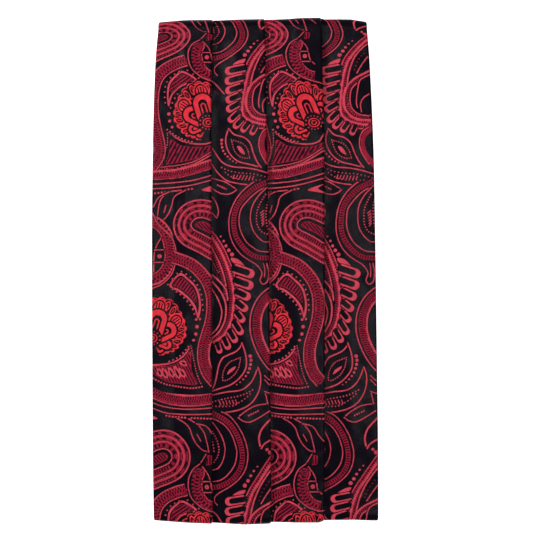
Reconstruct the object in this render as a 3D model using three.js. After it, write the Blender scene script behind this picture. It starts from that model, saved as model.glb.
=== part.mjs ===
// A pleated cummerbund folded flat, with its pleated front uppermost and both ends
// folded under it. One end, the inner wing, lies against the back of the front, and
// the other, the outer wing, lies on the table with its strap and hook.
// Lengths are in millimetres and +Z is up. The sash runs along Y and its pleats lie
// side by side along X. The origin is the middle of the floor that it covers.
import * as THREE from "three";

// The sash
const FRONT_LENGTH = 283; // between the two cross folds
const WIDTH = 126.8; // across the four pleats at the widest
const OUTER_WING = 106; // from the upper fold to the outer end
const CLOTH = 1; // wall of the folded cloth
const LAYER_GAP = 0.3; // between two layers of one pleat stack
const AIR = 1; // between the front and the wing folded behind it
const UNDERLAP = 14; // how far each pleat runs on under the one before it
const HEM = 12; // turned under along both long edges
const UPPER_FOLD_INSIDE = 1.2; // inner radius of the upper cross fold

// Straps and hook
const STRAP_WIDTH = 25;
const STRAP_THICK = 1;
const LONG_STRAP = 88;
const SHORT_STRAP = 24;
const STRAP_ROOM = 3; // from the short strap's end to the upper fold
const TAB_LENGTH = 15; // the gathered end between a wing and its strap
const SEAM_GAP = 0.3; // between pieces that are sewn or clamped together
const EYE_LENGTH = 5; // the slit in the short strap that takes the hook
const EYE_WIDTH = 18;
const EYE_MARGIN = 3; // cloth beyond the slit
const HOOK_PLATE = 0.8;
const CLAMP_LENGTH = 9;
const HOOK_REACH = 12; // from the clamp to the middle of the hook's bend
const HOOK_LIP = 8; // the part that is bent back
const HOOK_OVERHANG = 1; // of the hook beyond each edge of the strap

// How finely curves are cut
const ARC_STEPS = 4;
const FOLD_STEPS = 6;
const RISE_STEPS = 4;

// Each pleat's folded edge, as a share of the width from the left edge
const PLEATS = [
  { name: "pleat_1", edge: 0.263 },
  { name: "pleat_2", edge: 0.519 },
  { name: "pleat_3", edge: 0.765 },
  { name: "pleat_4", edge: 1 },
];

// The outline, with left and right as shares of half the width. The front runs from
// 0 at the lower fold to 1 at the upper one, the inner wing from 0 back to -1 at its
// end, and the outer wing from 1 on to 2.
const OUTLINE = [
  { at: -1, left: 0.4, right: 0.4 },
  { at: -0.72, left: 0.66, right: 0.66 },
  { at: -0.42, left: 0.88, right: 0.88 },
  { at: -0.18, left: 0.97, right: 0.98 },
  { at: 0, left: 0.992, right: 1.005 },
  { at: 0.34, left: 1.003, right: 0.99 },
  { at: 0.56, left: 1.005, right: 0.976 },
  { at: 0.74, left: 0.997, right: 0.96 },
  { at: 0.9, left: 0.978, right: 0.93 },
  { at: 1, left: 0.951, right: 0.904 },
  { at: 1.33, left: 0.83, right: 0.8 },
  { at: 2, left: 0.4, right: 0.4 },
];
const FRONT_STATIONS = [0.04, 0.1, 0.17, 0.25, 0.4, 0.56, 0.74, 0.83, 0.88, 0.93];
const INNER_STATIONS = [0.7, 0.55, 0.4, 0.25, 0.17, 0.11, 0.06];
const OUTER_STATIONS = [0.2, 0.45, 0.7];

const PITCH = CLOTH + LAYER_GAP;
const STACK = 3 * CLOTH + 2 * LAYER_GAP; // three layers where one pleat covers the next
const BEND = PITCH / 2; // of the cloth's middle at a pleat's folded edge
const HOOK_THICK = STRAP_THICK + 2 * SEAM_GAP + 2 * HOOK_PLATE;
const LOWER_FOLD_RADIUS = AIR / 2 + STACK;
const UPPER_FOLD_RADIUS = UPPER_FOLD_INSIDE + STACK;
const SHORT_STRAP_END = FRONT_LENGTH - UPPER_FOLD_RADIUS - STRAP_ROOM;
const INNER_END = SHORT_STRAP_END - SHORT_STRAP - TAB_LENGTH - 2 * SEAM_GAP;
const OUTER_END = FRONT_LENGTH - OUTER_WING;
const STRAP_START = OUTER_END - TAB_LENGTH - 2 * SEAM_GAP;
const HOOK_BACK = STRAP_START - LONG_STRAP - SEAM_GAP; // inside of the clamp
const HOOK_TIP = HOOK_BACK - HOOK_PLATE - HOOK_REACH - HOOK_THICK / 2;

const layer = (n) => CLOTH / 2 + n * PITCH;

// From 0 to 1 as value goes from low to high
const ease = (value, low, high) => THREE.MathUtils.smoothstep(value, low, high);

// A column of the outline, on a smooth curve through its rows
function outlineAt(at, column) {
  const last = OUTLINE.length - 1;
  const i = Math.min(Math.max(OUTLINE.findIndex((row) => row.at >= at), 1), last);
  const [before, a, b, after] = [i - 2, i - 1, i, i + 1].map(
    (n) => OUTLINE[Math.min(Math.max(n, 0), last)],
  );
  const slope = (p, q) => (q[column] - p[column]) / (q.at - p.at);
  const span = b.at - a.at;
  const t = THREE.MathUtils.clamp((at - a.at) / span, 0, 1);
  const [in1, in2] = [slope(before, b) * span, slope(a, after) * span];
  const rest = 1 - t;
  return (
    (1 + 2 * t) * rest * rest * a[column] +
    t * rest * rest * in1 +
    t * t * (3 - 2 * t) * b[column] -
    t * t * rest * in2
  );
}

// How high the inner wing lies: on the table at the lower fold, over the hook and
// strap beyond it, and then over the outer wing
function innerWingLift(y) {
  const overHook = HOOK_THICK + LAYER_GAP;
  const overWing = STACK + 2 * LAYER_GAP;
  return (
    overHook * ease(y, LOWER_FOLD_RADIUS, HOOK_TIP) +
    (overWing - overHook) * ease(y, STRAP_START - TAB_LENGTH, OUTER_END - TAB_LENGTH)
  );
}

// The underside of the front, which follows the wing behind it and dips past its end
function frontBase(y) {
  const past = ease(y, INNER_END - TAB_LENGTH, FRONT_LENGTH - UPPER_FOLD_RADIUS);
  const follows = innerWingLift(y) + STACK + AIR;
  return THREE.MathUtils.lerp(follows, STACK + 2 * UPPER_FOLD_INSIDE, past);
}

// Points on the side of the cloth that faces inwards, from the inner wing's end
// round both folds to the outer wing's end
function sashPath() {
  const points = [];
  const add = (y, z, at) => points.push({ y, z, at });
  const innerBase = (y) => innerWingLift(y) + STACK;
  [1, ...INNER_STATIONS].forEach((share) => {
    const y = THREE.MathUtils.lerp(LOWER_FOLD_RADIUS, INNER_END, share);
    add(y, innerBase(y), -share);
  });
  const foldAround = (y, low, high, side, at) => {
    const radius = (high - low) / 2;
    for (let i = 0; i <= FOLD_STEPS; i++) {
      const turn = Math.PI * (i / FOLD_STEPS);
      const up = side < 0 ? -Math.cos(turn) : Math.cos(turn);
      add(y + side * radius * Math.sin(turn), low + radius * (1 + up), at);
    }
  };
  foldAround(
    LOWER_FOLD_RADIUS,
    innerBase(LOWER_FOLD_RADIUS),
    frontBase(LOWER_FOLD_RADIUS),
    -1,
    0,
  );
  FRONT_STATIONS.forEach((share) => add(share * FRONT_LENGTH, frontBase(share * FRONT_LENGTH), share));
  const turnsAt = FRONT_LENGTH - UPPER_FOLD_RADIUS;
  foldAround(turnsAt, STACK, frontBase(turnsAt), 1, 1);
  [...OUTER_STATIONS, 1].forEach((share) => {
    const y = THREE.MathUtils.lerp(turnsAt, OUTER_END, share);
    add(y, STACK, 1 + share);
  });
  return points.map((point, i) => {
    const a = points[Math.max(i - 1, 0)];
    const b = points[Math.min(i + 1, points.length - 1)];
    const out = new THREE.Vector2(a.z - b.z, b.y - a.y).normalize();
    return { ...point, out };
  });
}

// The middle line of one pleat across the sash, as x and height over the base
function pleatLine(index, left, right) {
  const scale = (right - left) / WIDTH;
  const edgeOf = (i) => THREE.MathUtils.lerp(left, right, i < 0 ? 0 : PLEATS[i].edge);
  const underlap = UNDERLAP * scale;
  const start = edgeOf(index - 1);
  const end = edgeOf(index);
  const isFirst = index === 0;
  const isLast = index === PLEATS.length - 1;
  const low = isFirst ? 1 : 0;
  const high = isLast ? 1 : 2;
  const line = [];
  const add = (x, height) => line.push(new THREE.Vector2(x, height));
  const turn = (x, level, way) => {
    for (let i = 0; i <= ARC_STEPS; i++) {
      const angle = Math.PI * (i / ARC_STEPS);
      add(x + way * BEND * Math.sin(angle), layer(level) - way * BEND * (1 - Math.cos(angle)));
    }
  };
  const inset = BEND + CLOTH / 2;
  if (isFirst) {
    add(left + HEM * scale, layer(0));
    turn(left + inset, 0, -1);
  } else {
    add(start - underlap, layer(0));
  }
  for (let i = 0; i <= RISE_STEPS; i++) {
    const share = i / RISE_STEPS;
    const from = isFirst ? start + HEM * scale : start;
    const x = THREE.MathUtils.lerp(from, end - underlap, share);
    add(x, THREE.MathUtils.lerp(layer(low), layer(high), ease(share, 0, 1)));
  }
  turn(end - inset, high, 1);
  add(end - (isLast ? HEM * scale : underlap), layer(high - 1));
  return line;
}

// A strip of the cloth's thickness along a line, as a closed outline
function thicken(line) {
  const sides = [1, -1].map((side) =>
    line.map((point, i) => {
      const a = line[Math.max(i - 1, 0)];
      const b = line[Math.min(i + 1, line.length - 1)];
      const across = new THREE.Vector2(a.y - b.y, b.x - a.x).normalize();
      return point.clone().addScaledVector(across, (side * CLOTH) / 2);
    }),
  );
  return [...sides[0], ...sides[1].reverse()];
}

// A closed solid through rings of points, with ends cut as their flat outlines
function loft(rings, firstOutline, lastOutline) {
  const count = rings[0].length;
  const index = [];
  for (let r = 0; r + 1 < rings.length; r++) {
    for (let i = 0; i < count; i++) {
      const next = (i + 1) % count;
      const [a, b, c, d] = [r * count + i, r * count + next, (r + 1) * count + next, (r + 1) * count + i];
      index.push(a, b, c, a, c, d);
    }
  }
  const cap = (outline, offset, faces) => {
    const wound = THREE.ShapeUtils.area(outline) > 0;
    for (const [a, b, c] of THREE.ShapeUtils.triangulateShape(outline, [])) {
      const turned = THREE.ShapeUtils.area([outline[a], outline[b], outline[c]]) > 0;
      const kept = (turned === wound) === faces;
      index.push(...(kept ? [a, b, c] : [a, c, b]).map((n) => n + offset));
    }
  };
  cap(firstOutline, 0, false);
  cap(lastOutline, (rings.length - 1) * count, true);
  const geometry = new THREE.BufferGeometry();
  geometry.setAttribute(
    "position",
    new THREE.Float32BufferAttribute(rings.flat().flatMap((p) => [p.x, p.y, p.z]), 3),
  );
  geometry.setIndex(index);
  geometry.computeVertexNormals();
  return geometry;
}

function pleatGeometry(index) {
  const outlines = [];
  const rings = sashPath().map(({ y, z, at, out }) => {
    const left = (-WIDTH / 2) * outlineAt(at, "left");
    const right = (WIDTH / 2) * outlineAt(at, "right");
    const outline = thicken(pleatLine(index, left, right));
    outlines.push(outline);
    return outline.map((p) => new THREE.Vector3(p.x, y + p.y * out.x, z + p.y * out.y));
  });
  return loft(rings, outlines[0], outlines.at(-1));
}

// A bar of rectangles across the sash, each given by its y, width, bottom and top
function barGeometry(sections) {
  const rings = sections.map(({ y, width, bottom, top }) => [
    new THREE.Vector3(-width / 2, y, bottom),
    new THREE.Vector3(width / 2, y, bottom),
    new THREE.Vector3(width / 2, y, top),
    new THREE.Vector3(-width / 2, y, top),
  ]);
  const flat = (ring) => ring.map((p) => new THREE.Vector2(p.x, p.z));
  return loft(rings, flat(rings[0]), flat(rings.at(-1)));
}

// The gathered end of a wing, from the pleats' ends to the strap's thickness
function tabGeometry(end, way, bottom, wingShare) {
  const wide = WIDTH * wingShare;
  const near = end + way * SEAM_GAP;
  const sections = [
    { y: near, width: wide, bottom, top: bottom + STACK },
    { y: near + way * TAB_LENGTH * 0.4, width: wide * 0.94, bottom, top: bottom + STACK * 0.9 },
    { y: near + way * TAB_LENGTH, width: STRAP_WIDTH, bottom, top: bottom + STRAP_THICK },
  ];
  return barGeometry(way > 0 ? sections.reverse() : sections);
}

// The long strap lies on the table and rises into the middle of the hook's clamp
function longStrapGeometry() {
  const inClamp = HOOK_PLATE + SEAM_GAP;
  const section = (y, bottom) => ({
    y,
    width: STRAP_WIDTH,
    bottom,
    top: bottom + STRAP_THICK,
  });
  const mouth = HOOK_BACK + CLAMP_LENGTH;
  return barGeometry([
    section(STRAP_START, 0),
    section(mouth + 4 * CLAMP_LENGTH, 0),
    section(mouth + CLAMP_LENGTH, inClamp * 0.6),
    section(mouth, inClamp),
    section(HOOK_BACK + SEAM_GAP, inClamp),
  ]);
}

// The short strap, with the slit that the hook goes through
function shortStrapGeometry() {
  const half = STRAP_WIDTH / 2;
  const shape = new THREE.Shape([
    new THREE.Vector2(-half, 0),
    new THREE.Vector2(half, 0),
    new THREE.Vector2(half, SHORT_STRAP),
    new THREE.Vector2(-half, SHORT_STRAP),
  ]);
  const slitEnd = SHORT_STRAP - EYE_MARGIN;
  shape.holes.push(
    new THREE.Path([
      new THREE.Vector2(-EYE_WIDTH / 2, slitEnd - EYE_LENGTH),
      new THREE.Vector2(-EYE_WIDTH / 2, slitEnd),
      new THREE.Vector2(EYE_WIDTH / 2, slitEnd),
      new THREE.Vector2(EYE_WIDTH / 2, slitEnd - EYE_LENGTH),
    ]),
  );
  return new THREE.ExtrudeGeometry(shape, { depth: STRAP_THICK, bevelEnabled: false });
}

// The hook is one bent plate: a clamp on the strap's end and a lip turned back
function hookGeometry() {
  const plate = HOOK_PLATE;
  const top = HOOK_THICK;
  const radius = top / 2;
  const bendAt = -plate - HOOK_REACH;
  const side = new THREE.Shape();
  side.moveTo(CLAMP_LENGTH, 0);
  side.lineTo(CLAMP_LENGTH, plate);
  side.lineTo(0, plate);
  side.lineTo(0, top - plate);
  side.lineTo(CLAMP_LENGTH, top - plate);
  side.lineTo(CLAMP_LENGTH, top);
  side.lineTo(-plate, top);
  side.lineTo(-plate, plate);
  side.lineTo(bendAt, plate);
  side.absarc(bendAt, radius, radius - plate, -Math.PI / 2, Math.PI / 2, true);
  side.lineTo(bendAt + HOOK_LIP, top - plate);
  side.lineTo(bendAt + HOOK_LIP, top);
  side.lineTo(bendAt, top);
  side.absarc(bendAt, radius, radius, Math.PI / 2, -Math.PI / 2, false);
  side.lineTo(CLAMP_LENGTH, 0);
  const width = STRAP_WIDTH + 2 * HOOK_OVERHANG;
  const geometry = new THREE.ExtrudeGeometry(side, {
    depth: width,
    bevelEnabled: false,
    curveSegments: 2 * ARC_STEPS,
  });
  // Extruded along Z from a drawing of (y, z): turned so that its depth runs along X
  geometry.translate(0, 0, -width / 2);
  geometry.applyMatrix4(
    new THREE.Matrix4().makeBasis(
      new THREE.Vector3(0, 1, 0),
      new THREE.Vector3(0, 0, 1),
      new THREE.Vector3(1, 0, 0),
    ),
  );
  return geometry;
}

const jacquard = new THREE.MeshStandardMaterial({ color: 0x571a22, roughness: 0.55, metalness: 0 });
const satin = new THREE.MeshStandardMaterial({ color: 0x17151a, roughness: 0.5, metalness: 0 });
const webbing = new THREE.MeshStandardMaterial({ color: 0x1b191d, roughness: 0.8, metalness: 0 });
const steel = new THREE.MeshStandardMaterial({ color: 0x9a9aa0, roughness: 0.3, metalness: 1 });

const cummerbund = new THREE.Group();

function addPiece(name, geometry, material, position = [0, 0, 0]) {
  const mesh = new THREE.Mesh(geometry, material);
  mesh.name = name;
  mesh.position.set(...position);
  cummerbund.add(mesh);
}

PLEATS.forEach(({ name }, i) => addPiece(name, pleatGeometry(i), jacquard));
addPiece("outer_end_tab", tabGeometry(OUTER_END, -1, 0, outlineAt(2, "left")), satin);
const innerLift = innerWingLift(INNER_END);
addPiece("inner_end_tab", tabGeometry(INNER_END, 1, innerLift, outlineAt(-1, "left")), satin);
addPiece("long_strap", longStrapGeometry(), webbing);
addPiece("short_strap", shortStrapGeometry(), webbing, [
  0,
  SHORT_STRAP_END - SHORT_STRAP,
  innerLift,
]);
addPiece("hook", hookGeometry(), steel, [0, HOOK_BACK, 0]);

cummerbund.position.y = -FRONT_LENGTH / 2;

export default cummerbund;
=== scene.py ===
"""A pleated jacquard cummerbund folded flat on a white table, seen from straight above."""
import math

import bpy
import numpy as np
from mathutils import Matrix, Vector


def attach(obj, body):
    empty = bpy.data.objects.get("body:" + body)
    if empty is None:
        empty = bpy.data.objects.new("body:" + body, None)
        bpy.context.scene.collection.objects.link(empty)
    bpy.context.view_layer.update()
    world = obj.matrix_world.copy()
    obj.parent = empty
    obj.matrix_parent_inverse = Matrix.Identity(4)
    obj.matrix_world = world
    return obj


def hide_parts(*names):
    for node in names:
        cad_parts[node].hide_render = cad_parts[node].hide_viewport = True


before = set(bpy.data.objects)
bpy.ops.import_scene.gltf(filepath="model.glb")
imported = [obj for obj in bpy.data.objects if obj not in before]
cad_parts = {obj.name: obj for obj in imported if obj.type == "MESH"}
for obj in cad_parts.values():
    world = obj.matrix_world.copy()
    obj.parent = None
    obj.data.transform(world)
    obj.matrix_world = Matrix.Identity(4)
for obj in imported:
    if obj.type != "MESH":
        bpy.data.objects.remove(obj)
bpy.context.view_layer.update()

# The sash in millimetres, as in the CAD part. Y runs up from the lower cross fold.
MM = 0.001
FRONT_LENGTH = 283
WIDTH = 126.8
OUTER_WING = 106
CLOTH = 1
LAYER_GAP = 0.3
AIR = 1
UNDERLAP = 14
HEM = 12
UPPER_FOLD_INSIDE = 1.2
STRAP_WIDTH = 25
STRAP_THICK = 1
LONG_STRAP = 88
SHORT_STRAP = 24
STRAP_ROOM = 3
TAB_LENGTH = 15
SEAM_GAP = 0.3
HOOK_PLATE = 0.8
CLAMP_LENGTH = 9
HOOK_REACH = 12
PLEATS = ("pleat_1", "pleat_2", "pleat_3", "pleat_4")
EDGES = (0, 0.263, 0.519, 0.765, 1)
# Shares of half the width at the left and right, along the sash from the inner wing's end
OUTLINE = np.array([
    (-1, 0.4, 0.4), (-0.72, 0.66, 0.66), (-0.42, 0.88, 0.88), (-0.18, 0.97, 0.98), (0, 0.992, 1.005),
    (0.34, 1.003, 0.99), (0.56, 1.005, 0.976), (0.74, 0.997, 0.96), (0.9, 0.978, 0.93), (1, 0.951, 0.904),
    (1.33, 0.83, 0.8), (2, 0.4, 0.4),
])
PITCH = CLOTH + LAYER_GAP
STACK = 3 * CLOTH + 2 * LAYER_GAP
BEND = PITCH / 2
HOOK_THICK = STRAP_THICK + 2 * SEAM_GAP + 2 * HOOK_PLATE
LOWER_FOLD_RADIUS = AIR / 2 + STACK
UPPER_FOLD_RADIUS = UPPER_FOLD_INSIDE + STACK
TURNS_AT = FRONT_LENGTH - UPPER_FOLD_RADIUS
SHORT_STRAP_END = TURNS_AT - STRAP_ROOM
INNER_END = SHORT_STRAP_END - SHORT_STRAP - TAB_LENGTH - 2 * SEAM_GAP
OUTER_END = FRONT_LENGTH - OUTER_WING
STRAP_START = OUTER_END - TAB_LENGTH - 2 * SEAM_GAP
HOOK_BACK = STRAP_START - LONG_STRAP - SEAM_GAP
HOOK_TIP = HOOK_BACK - HOOK_PLATE - HOOK_REACH - HOOK_THICK / 2

# What only the render shows, in millimetres
WALL = 0.7  # of the woven cloth, inside the CAD's wall
FINE = 0.5  # spacing of the mesh where the front shows
COARSE = 1.35  # and along the wings
FACE_COLUMNS = 66  # of the mesh across the flat of each pleat
# Pulls of each pleat's folded edge across the sash: at the upper fold, the middle and the lower fold
EDGE_PULLS = {1: (0.2, 0.9, 0.2), 2: (-0.8, 0.8, 0.8), 3: (1.9, 0.9, -0.7)}
# How far the cross folds stray from straight, by the place across the sash
UPPER_STRAY = {
    "x": (-60, -48, -25, 0, 12, 20, 31, 33, 48, 57),
    "y": (-1.5, -0.4, -0.2, 0.2, 0.3, 0.8, 1.0, 0.4, 0.2, -1.2),
}
LOWER_STRAY = {
    "x": (-62, -50, -31, -29, -12, 2, 4, 30, 33, 50, 60),
    "y": (0.6, -0.3, -1.1, -0.9, -1.6, -1.1, -0.5, -0.5, 0.5, 0.9, 0.5),
}
STRAY_REACH = 45  # how far from a cross fold its straying fades out
FOLD_FILL = 0.85  # how much of a step at a pleat line the cross folds even out
GATHERS = 9  # on each side of a gathered end's middle

# The woven pattern is charted in squares, across and down two strips of cloth
SQUARE = 0.56  # millimetres
MIDDLE = {"x": 265.25, "y": 270.5}  # the square under the part's middle, across and down
FIRST_ROW, PERIOD, COLUMNS = 93, 429, 76  # what one repeat covers
FINENESS = 4  # grid points to a square
FAR = 9.0  # deeper than any motif's edge
# The first square of each pleat, and how far the photo's weave shifts across it by the row
WEAVES = [
    {"chart": 0, "first": 150, "shift": {"row": (0,), "by": (0,)}},
    {"chart": 1, "first": 210, "shift": {"row": (0,), "by": (0,)}},
    {"chart": 0, "first": 248, "shift": {"row": (60, 100, 122, 190), "by": (0, 5, 7.8, 8)}},
    {"chart": 1, "first": 305, "shift": {"row": (60, 147, 217, 275), "by": (0, 5.8, 12.5, 11)}},
]
# Above this row the pattern is drawn in towards the upper fold
DRAWN_IN = {"from_row": 60, "rows": 42, "scale": 40, "by": 18}

# Tones of the red threads, from the darkest stripe to the bright petals
STRIPE, FILL, RIBBON, LINE, PETAL = 0.0, 0.1, 0.27, 0.5, 1.0
THIN = 1.15  # a drawn line
SEED_PITCH = 2.6  # from one dark thread of a row to the next
# Cross sections of the woven bands: from, to and kind, measured from one side
RINGS = [
    (3.2, 4.5, "line"), (5.4, 8.8, "seeds"), (9.6, 11.9, "ribbon"), (12.6, 14.1, "seeds"),
    (14.8, 17.3, "ribbon"), (18.1, 19.8, "seeds"), (20.7, 22.1, "line"),
]
BRAID = [
    (0.0, 1.2, "line"), (1.9, 3.6, "seeds"), (4.4, 8.2, "ticks"), (9.0, 10.7, "seeds"),
    (11.4, 12.6, "line"),
]
# The flower: how far it reaches on each side of its axis, in degrees, its crowns on the edge,
# and its petals as (turn, length, half width)
FLOWER = {
    "axis": 38, "half": 118,
    "turn": (-118, -80, -46, -27, -8, 15, 36, 51, 68, 77, 98, 118),
    "reach": (22, 30, 38.5, 42.5, 43.5, 39, 37, 34.5, 29, 27.5, 20, 17.5),
    "crowns": (-25, 18, -68),
    "petals": ((-70, 23, 6.5), (104, 17.5, 3.8), (76, 21, 4.6), (27, 26.5, 8), (-21, 29.5, 9.2)),
}

# Colours of the threads
SEED_PURPLE = (0.014, 0.002, 0.011)
STRIPE_RED = (0.33, 0.011, 0.036)
LINE_RED = (0.70, 0.064, 0.102)
PETAL_RED = (0.84, 0.036, 0.054)
GROUND_DARK = (0.002, 0.0014, 0.003)
GROUND_LIGHT = (0.008, 0.006, 0.012)
SATIN = (0.012, 0.011, 0.014)
WEBBING = (0.014, 0.013, 0.016)

# The stage in metres: name, place, size and power of each light, and the camera
LIGHTS = (
    ("overhead", (0, 0.01, 1.7), 0.16, 9),
    ("left_fill", (-0.9, 0.5, 0.75), 0.4, 13),
    ("right_fill", (1.5, -0.4, 1.3), 1.2, 4),
)
WORLD_LIGHT = 0.2
CAMERA = (0.0007, 0.0023, 1.5)
FIELD = 0.2983  # the width that the photo covers, at the height of the front
FRONT_HEIGHT = 0.012

# Soft waves over the whole sash: length, depth, heading and phase
random = np.random.default_rng(4)
WAVES = [
    (size, depth, random.uniform(0, math.pi), random.uniform(0, 2 * math.pi))
    for size, depth in ((62, 0.16), (31, 0.10), (15, 0.05), (8, 0.025)) for _ in range(3)
]


def ease(value, low, high):
    t = np.clip((value - low) / (high - low), 0, 1)
    return t * t * (3 - 2 * t)


def lerp(a, b, t):
    return a + (b - a) * t

def smooth(points, closed=False, steps=7):
    """A curve through the given points."""
    p = np.array(points, float)
    if closed:
        p = np.vstack([p[-1], p, p[0], p[1]])
    else:
        p = np.vstack([2 * p[0] - p[1], p, 2 * p[-1] - p[-2]])
    out = []
    t = np.arange(steps)[:, None] / steps
    for a, b, c, d in zip(p[:-3], p[1:-2], p[2:-1], p[3:]):
        square, cube = 2 * a - 5 * b + 4 * c - d, 3 * b - a - 3 * c + d
        out.append(0.5 * (2 * b + (c - a) * t + square * t**2 + cube * t**3))
    out.append(p[-2][None])
    return np.vstack(out)


def wave(along, pitch):
    """Distance to the nearest multiple of the pitch."""
    return np.abs((along / pitch + 0.5) % 1 - 0.5) * pitch


class Chart:
    """Depth inside the red figure, and its tone, dark threads and their beat, on a fine grid."""

    def __init__(self):
        self.across = np.arange(COLUMNS * FINENESS) / FINENESS
        self.down = FIRST_ROW + np.arange(PERIOD * FINENESS) / FINENESS
        shape = (len(self.down), len(self.across))
        self.red = np.full(shape, -FAR)
        self.tone = np.full(shape, LINE)
        self.seeds = np.zeros(shape)
        self.beat = np.zeros(shape) + self.across

    def window(self, low, high):
        def part(values, a, b):
            start, stop = np.searchsorted(values, (a, b))
            return slice(int(start), int(stop))

        return part(self.down, low[1], high[1]), part(self.across, low[0], high[0])

    def places(self, window):
        return self.down[window[0]][:, None], self.across[window[1]][None, :]

    def copies(self, line):
        """The line in this repeat and in the ones above and below it."""
        for shift in (-PERIOD, 0, PERIOD):
            moved = line + (0, shift)
            if moved[:, 1].max() > FIRST_ROW - 60 and moved[:, 1].min() < FIRST_ROW + PERIOD + 60:
                yield moved

    def trace(self, line, reach):
        """Distance from a line, the length along it, and the side: 1 on its right, else -1."""
        window = self.window(line.min(0) - reach, line.max(0) + reach)
        down, across = self.down[window[0]], self.across[window[1]]
        gap = np.full((len(down), len(across)), FAR * 4)
        along, side = np.zeros_like(gap), np.ones_like(gap)
        done = 0.0
        for a, b in zip(line[:-1], line[1:]):
            step = b - a
            length = math.hypot(*step)
            if length < 1e-6:
                continue
            low, high = np.minimum(a, b) - reach, np.maximum(a, b) + reach
            r = slice(*np.searchsorted(down, (low[1], high[1])))
            c = slice(*np.searchsorted(across, (low[0], high[0])))
            pu, pv = across[c][None, :] - a[0], down[r][:, None] - a[1]
            t = np.clip((pu * step[0] + pv * step[1]) / length**2, 0, 1)
            d = np.hypot(pu - t * step[0], pv - t * step[1])
            near = d < gap[r, c]
            gap[r, c] = np.where(near, d, gap[r, c])
            along[r, c] = np.where(near, done + t * length, along[r, c])
            side[r, c] = np.where(near, np.where(step[0] * pv - step[1] * pu >= 0, 1, -1), side[r, c])
            done += length
        return window, gap, along, side

    def paint(self, window, depth, tone=LINE):
        self.red[window] = np.maximum(self.red[window], depth)
        self.tone[window] = np.where(depth > -0.9, tone, self.tone[window])
        self.seeds[window] = np.where(depth > -0.4, 0, self.seeds[window])

    def sow(self, window, depth, marks, beat):
        """Dark threads over what is painted, as strong as marks and in step with beat."""
        self.seeds[window] = np.where(depth > -0.3, marks, self.seeds[window])
        self.beat[window] = np.where(depth > -1.2, beat, self.beat[window])

    def cut(self, window, depth):
        """Black ground."""
        self.red[window] = np.minimum(self.red[window], -depth)

    def rows(self, window, offset, along, rows):
        for low, high, kind in rows:
            bar = np.minimum(offset - low, high - offset)
            if kind == "line":
                self.paint(window, bar, LINE)
            elif kind == "ribbon":
                self.paint(window, bar, RIBBON)
            elif kind == "ticks":
                self.paint(window, bar + 0.6, RIBBON)
                self.paint(window, bar, STRIPE)
                self.sow(window, bar - 0.2, 0.52, along + SEED_PITCH / 2)
            elif kind == "seeds":
                self.paint(window, bar, STRIPE)
                middle, half = (low + high) / 2, (high - low) / 2
                self.sow(window, bar, np.clip(1.25 - abs(offset - middle) / half, 0, 1), along)

    def line(self, points, width=THIN, tone=LINE, clear=0.9, dash=0):
        for moved in self.copies(smooth(points)):
            window, gap, along, _ = self.trace(moved, width + 2.5)
            depth = width / 2 - gap
            self.cut(window, depth + clear)
            if dash:
                depth = np.minimum(depth, dash * 0.32 - wave(along, dash))
            self.paint(window, depth, tone)

    def band(self, points, rows=BRAID, clear=0.8):
        """A woven band on the left of the line given, as seen, with its rows measured from it."""
        line = smooth(points)
        whole = np.hypot(*np.diff(line, axis=0).T).sum()
        top = rows[-1][1]
        for moved in self.copies(line):
            window, gap, along, side = self.trace(moved, top + 2)
            between = (along > 0.02) & (along < whole - 0.02)  # so that both ends are square
            offset = np.where(between, -side * gap, -FAR * 4)
            self.cut(window, np.minimum(offset + clear, top + clear - offset))
            self.rows(window, offset, along, rows)

    def area(self, line, reach):
        """Depth inside a closed line, and the length along it."""
        closed = np.vstack([line, line[:1]])
        window, gap, along, _ = self.trace(closed, reach)
        down, across = self.places(window)
        inside = np.zeros(gap.shape, bool)
        for a, b in zip(closed[:-1], closed[1:]):
            if a[1] == b[1]:
                continue
            crosses = (down > min(a[1], b[1])) & (down <= max(a[1], b[1]))
            at = a[0] + (down - a[1]) * (b[0] - a[0]) / (b[1] - a[1])
            inside ^= crosses & (across < at)
        return window, np.where(inside, gap, -gap), along

    def patch(self, points, tone=STRIPE, clear=0.9, curved=True, streaks=None):
        """A filled area, with dark streaks across the direction given."""
        line = smooth(points, closed=True)[:-1] if curved else np.array(points, float)
        for moved in self.copies(line):
            window, depth, _ = self.area(moved, 4)
            if clear:
                self.cut(window, depth + clear)
            self.paint(window, depth, tone)
            if streaks:
                down, across = self.places(window)
                marks = 0.5 if tone == FILL else 0.75
                self.sow(window, depth - 0.8, marks, across * streaks[0] + down * streaks[1])

    def hole(self, points):
        for moved in self.copies(smooth(points, closed=True)[:-1]):
            window, depth, _ = self.area(moved, 4)
            self.cut(window, depth)

    def drop(self, start, end):
        """A drop with a dark middle, wider towards its end."""
        start, end = np.array(start, float), np.array(end, float)
        way = (end - start) / math.hypot(*(end - start))
        beside = np.array([way[1], -way[0]])
        wide = lerp(start, end, 0.7)
        self.patch([start, wide - 2 * beside, end + way, wide + 2 * beside], LINE, clear=0)
        self.hole([start + way, wide - 1.1 * beside, end, wide + 1.1 * beside])

    def ring(self, core, scale=1.0):
        """Woven rings round a streaked core."""
        line = smooth(core, closed=True)[:-1]
        rows = [(low * scale, high * scale, kind) for low, high, kind in RINGS]
        for moved in self.copies(line):
            window, depth, along = self.area(moved, rows[-1][1] + 3)
            self.cut(window, depth + rows[-1][1] + 0.9)
            self.paint(window, depth, STRIPE)
            down, across = self.places(window)
            self.sow(window, depth - 1, 0.62, 0.75 * across - 0.65 * down)
            self.rows(window, -depth, along, rows)

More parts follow.
